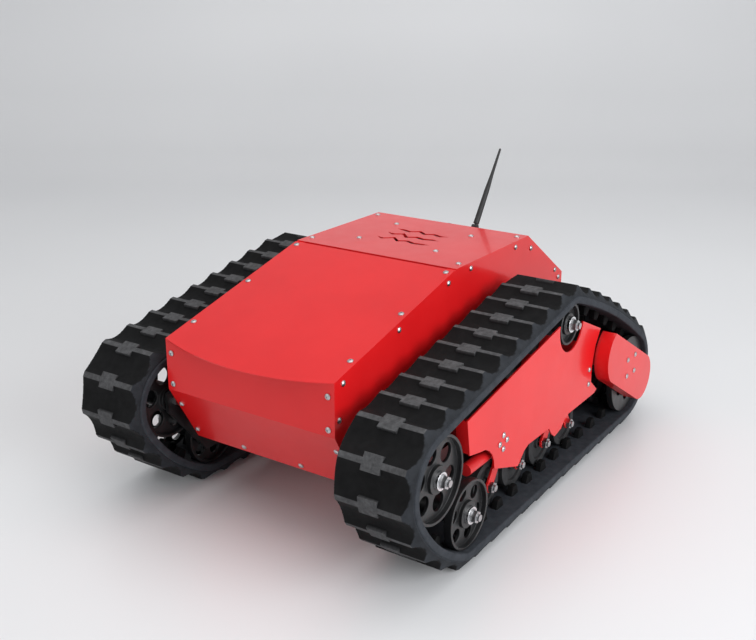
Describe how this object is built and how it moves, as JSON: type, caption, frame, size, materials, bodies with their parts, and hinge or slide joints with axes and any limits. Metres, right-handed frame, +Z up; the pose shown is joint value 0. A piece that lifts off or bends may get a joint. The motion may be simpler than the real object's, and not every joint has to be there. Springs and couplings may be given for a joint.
{
  "type": "tracked robot chassis",
  "caption": "Low tracked robot chassis with a folded sheet-metal hull, lugged rubber belts, driven rear sprockets, rocking bogies, a vented deck and a tilting antenna",
  "frame": {"origin": "on the ground at the middle of the overall length and width", "axes": "+X forward, +Y the chassis's left, +Z up"},
  "size_m": [1.0222, 0.778, 0.5786],
  "materials": {
    "red_powder_coat": "gloss",
    "belt_rubber": "matte",
    "black_wheel": "satin",
    "zinc_steel": "satin",
    "bearing_chrome": "polished",
    "black_plastic": "matte",
    "gloss_cap": "gloss",
    "cell_wrap": "gloss"
  },
  "bodies": {
    "hull": {"antenna_base": "zinc_steel", "axle_bolts": "zinc_steel", "battery_pack": "cell_wrap", "bearings": "bearing_chrome", "button_bezel": "black_plastic", "chain_cover_left": "red_powder_coat", "chain_cover_right": "red_powder_coat", "drive_chains": "zinc_steel", "fan_bracket": "red_powder_coat", "fan_frame": "black_plastic", "floor_plate": "red_powder_coat", "front_plate": "red_powder_coat", "gear_motors": "zinc_steel", "glacis_cover": "red_powder_coat", "hull_frame": "red_powder_coat", "hull_screws": "zinc_steel", "left_side_plate": "red_powder_coat", "motor_driver": "black_plastic", "rear_cover": "red_powder_coat", "right_side_plate": "red_powder_coat", "side_screws": "zinc_steel", "suspension_plate_left": "red_powder_coat", "suspension_plate_right": "red_powder_coat", "top_plate": "red_powder_coat", "track_belt_left": "belt_rubber", "track_belt_right": "belt_rubber", "track_frame_left": "red_powder_coat", "track_frame_right": "red_powder_coat"},
    "sprocket_left": {"drive_sprocket_left": "black_wheel", "drive_shaft_left": "zinc_steel"},
    "motor_output_left": {"motor_shaft_left": "zinc_steel"},
    "idler_left": {"idler_wheel_left": "black_wheel"},
    "road_wheel_left": {"road_wheel_left": "black_wheel"},
    "return_roller_left": {"return_roller_left": "black_wheel"},
    "front_bogie_left": {"front_bogie_arm_left": "red_powder_coat", "front_bogie_axles_left": "zinc_steel"},
    "roller_1_left": {"road_roller_1_left": "belt_rubber"},
    "roller_2_left": {"road_roller_2_left": "belt_rubber"},
    "rear_bogie_left": {"rear_bogie_arm_left": "red_powder_coat", "rear_bogie_axles_left": "zinc_steel"},
    "roller_3_left": {"road_roller_3_left": "belt_rubber"},
    "roller_4_left": {"road_roller_4_left": "belt_rubber"},
    "sprocket_right": {"drive_sprocket_right": "black_wheel", "drive_shaft_right": "zinc_steel"},
    "motor_output_right": {"motor_shaft_right": "zinc_steel"},
    "idler_right": {"idler_wheel_right": "black_wheel"},
    "road_wheel_right": {"road_wheel_right": "black_wheel"},
    "return_roller_right": {"return_roller_right": "black_wheel"},
    "front_bogie_right": {"front_bogie_arm_right": "red_powder_coat", "front_bogie_axles_right": "zinc_steel"},
    "roller_1_right": {"road_roller_1_right": "belt_rubber"},
    "roller_2_right": {"road_roller_2_right": "belt_rubber"},
    "rear_bogie_right": {"rear_bogie_arm_right": "red_powder_coat", "rear_bogie_axles_right": "zinc_steel"},
    "roller_3_right": {"road_roller_3_right": "belt_rubber"},
    "roller_4_right": {"road_roller_4_right": "belt_rubber"},
    "fan": {"fan_rotor": "black_plastic"},
    "antenna_mount": {"antenna_elbow": "zinc_steel"},
    "antenna": {"antenna_whip": "black_plastic"},
    "button": {"power_button": "gloss_cap"}
  },
  "joints": [
    {"name": "sprocket_left_spin", "type": "hinge", "parent": "hull", "child": "sprocket_left", "pos_m": [-0.393, 0.288, 0.1175], "axis": [0, 1, 0], "continuous": true},
    {"name": "motor_output_left_spin", "type": "hinge", "parent": "hull", "child": "motor_output_left", "pos_m": [-0.236, 0.288, 0.208], "axis": [0, 1, 0], "continuous": true},
    {"name": "idler_left_spin", "type": "hinge", "parent": "hull", "child": "idler_left", "pos_m": [0.402, 0.288, 0.2045], "axis": [0, 1, 0], "continuous": true},
    {"name": "road_wheel_left_spin", "type": "hinge", "parent": "hull", "child": "road_wheel_left", "pos_m": [0.3, 0.288, 0.096], "axis": [0, 1, 0], "continuous": true},
    {"name": "return_roller_left_spin", "type": "hinge", "parent": "hull", "child": "return_roller_left", "pos_m": [-0.068, 0.288, 0.3265], "axis": [0, 1, 0], "continuous": true},
    {"name": "front_bogie_left_rock", "type": "hinge", "parent": "hull", "child": "front_bogie_left", "pos_m": [0.1195, 0.288, 0.165], "axis": [0, 1, 0], "range_deg": [-3, 3]},
    {"name": "roller_1_left_spin", "type": "hinge", "parent": "front_bogie_left", "child": "roller_1_left", "pos_m": [0.174, 0.288, 0.084], "axis": [0, 1, 0], "continuous": true},
    {"name": "roller_2_left_spin", "type": "hinge", "parent": "front_bogie_left", "child": "roller_2_left", "pos_m": [0.065, 0.288, 0.084], "axis": [0, 1, 0], "continuous": true},
    {"name": "rear_bogie_left_rock", "type": "hinge", "parent": "hull", "child": "rear_bogie_left", "pos_m": [-0.0985, 0.288, 0.165], "axis": [0, 1, 0], "range_deg": [-3, 3]},
    {"name": "roller_3_left_spin", "type": "hinge", "parent": "rear_bogie_left", "child": "roller_3_left", "pos_m": [-0.044, 0.288, 0.084], "axis": [0, 1, 0], "continuous": true},
    {"name": "roller_4_left_spin", "type": "hinge", "parent": "rear_bogie_left", "child": "roller_4_left", "pos_m": [-0.153, 0.288, 0.084], "axis": [0, 1, 0], "continuous": true},
    {"name": "sprocket_right_spin", "type": "hinge", "parent": "hull", "child": "sprocket_right", "pos_m": [-0.393, -0.288, 0.1175], "axis": [0, 1, 0], "continuous": true},
    {"name": "motor_output_right_spin", "type": "hinge", "parent": "hull", "child": "motor_output_right", "pos_m": [-0.236, -0.288, 0.208], "axis": [0, 1, 0], "continuous": true},
    {"name": "idler_right_spin", "type": "hinge", "parent": "hull", "child": "idler_right", "pos_m": [0.402, -0.288, 0.2045], "axis": [0, 1, 0], "continuous": true},
    {"name": "road_wheel_right_spin", "type": "hinge", "parent": "hull", "child": "road_wheel_right", "pos_m": [0.3, -0.288, 0.096], "axis": [0, 1, 0], "continuous": true},
    {"name": "return_roller_right_spin", "type": "hinge", "parent": "hull", "child": "return_roller_right", "pos_m": [-0.068, -0.288, 0.3265], "axis": [0, 1, 0], "continuous": true},
    {"name": "front_bogie_right_rock", "type": "hinge", "parent": "hull", "child": "front_bogie_right", "pos_m": [0.1195, -0.288, 0.165], "axis": [0, 1, 0], "range_deg": [-3, 3]},
    {"name": "roller_1_right_spin", "type": "hinge", "parent": "front_bogie_right", "child": "roller_1_right", "pos_m": [0.174, -0.288, 0.084], "axis": [0, 1, 0], "continuous": true},
    {"name": "roller_2_right_spin", "type": "hinge", "parent": "front_bogie_right", "child": "roller_2_right", "pos_m": [0.065, -0.288, 0.084], "axis": [0, 1, 0], "continuous": true},
    {"name": "rear_bogie_right_rock", "type": "hinge", "parent": "hull", "child": "rear_bogie_right", "pos_m": [-0.0985, -0.288, 0.165], "axis": [0, 1, 0], "range_deg": [-3, 3]},
    {"name": "roller_3_right_spin", "type": "hinge", "parent": "rear_bogie_right", "child": "roller_3_right", "pos_m": [-0.044, -0.288, 0.084], "axis": [0, 1, 0], "continuous": true},
    {"name": "roller_4_right_spin", "type": "hinge", "parent": "rear_bogie_right", "child": "roller_4_right", "pos_m": [-0.153, -0.288, 0.084], "axis": [0, 1, 0], "continuous": true},
    {"name": "fan_spin", "type": "hinge", "parent": "hull", "child": "fan", "pos_m": [-0.079, 0, 0.41], "axis": [0, 0, 1], "continuous": true},
    {"name": "antenna_swivel", "type": "hinge", "parent": "hull", "child": "antenna_mount", "pos_m": [-0.268, 0.027, 0.40701], "axis": [-0.5585, 0, 0.8295], "range_deg": [-90, 90]},
    {"name": "antenna_tilt", "type": "hinge", "parent": "antenna_mount", "child": "antenna", "pos_m": [-0.27917, 0.027, 0.4236], "axis": [0, 1, 0], "range_deg": [0, 90]},
    {"name": "button_press", "type": "slide", "parent": "hull", "child": "button", "axis": [0.5585, 0, -0.8295], "range_m": [0, 0.0025], "stiffness_N_per_m": 400, "springref_m": -0.002}
  ],
  "couplings": [
    {"joint": "motor_output_left_spin", "follows": "sprocket_left_spin", "ratio": 1},
    {"joint": "idler_left_spin", "follows": "sprocket_left_spin", "ratio": 1.12},
    {"joint": "road_wheel_left_spin", "follows": "sprocket_left_spin", "ratio": 1.344},
    {"joint": "return_roller_left_spin", "follows": "sprocket_left_spin", "ratio": 2.0488},
    {"joint": "roller_1_left_spin", "follows": "sprocket_left_spin", "ratio": 1.7872},
    {"joint": "roller_2_left_spin", "follows": "sprocket_left_spin", "ratio": 1.7872},
    {"joint": "roller_3_left_spin", "follows": "sprocket_left_spin", "ratio": 1.7872},
    {"joint": "roller_4_left_spin", "follows": "sprocket_left_spin", "ratio": 1.7872},
    {"joint": "motor_output_right_spin", "follows": "sprocket_right_spin", "ratio": 1},
    {"joint": "idler_right_spin", "follows": "sprocket_right_spin", "ratio": 1.12},
    {"joint": "road_wheel_right_spin", "follows": "sprocket_right_spin", "ratio": 1.344},
    {"joint": "return_roller_right_spin", "follows": "sprocket_right_spin", "ratio": 2.0488},
    {"joint": "roller_1_right_spin", "follows": "sprocket_right_spin", "ratio": 1.7872},
    {"joint": "roller_2_right_spin", "follows": "sprocket_right_spin", "ratio": 1.7872},
    {"joint": "roller_3_right_spin", "follows": "sprocket_right_spin", "ratio": 1.7872},
    {"joint": "roller_4_right_spin", "follows": "sprocket_right_spin", "ratio": 1.7872}
  ]
}
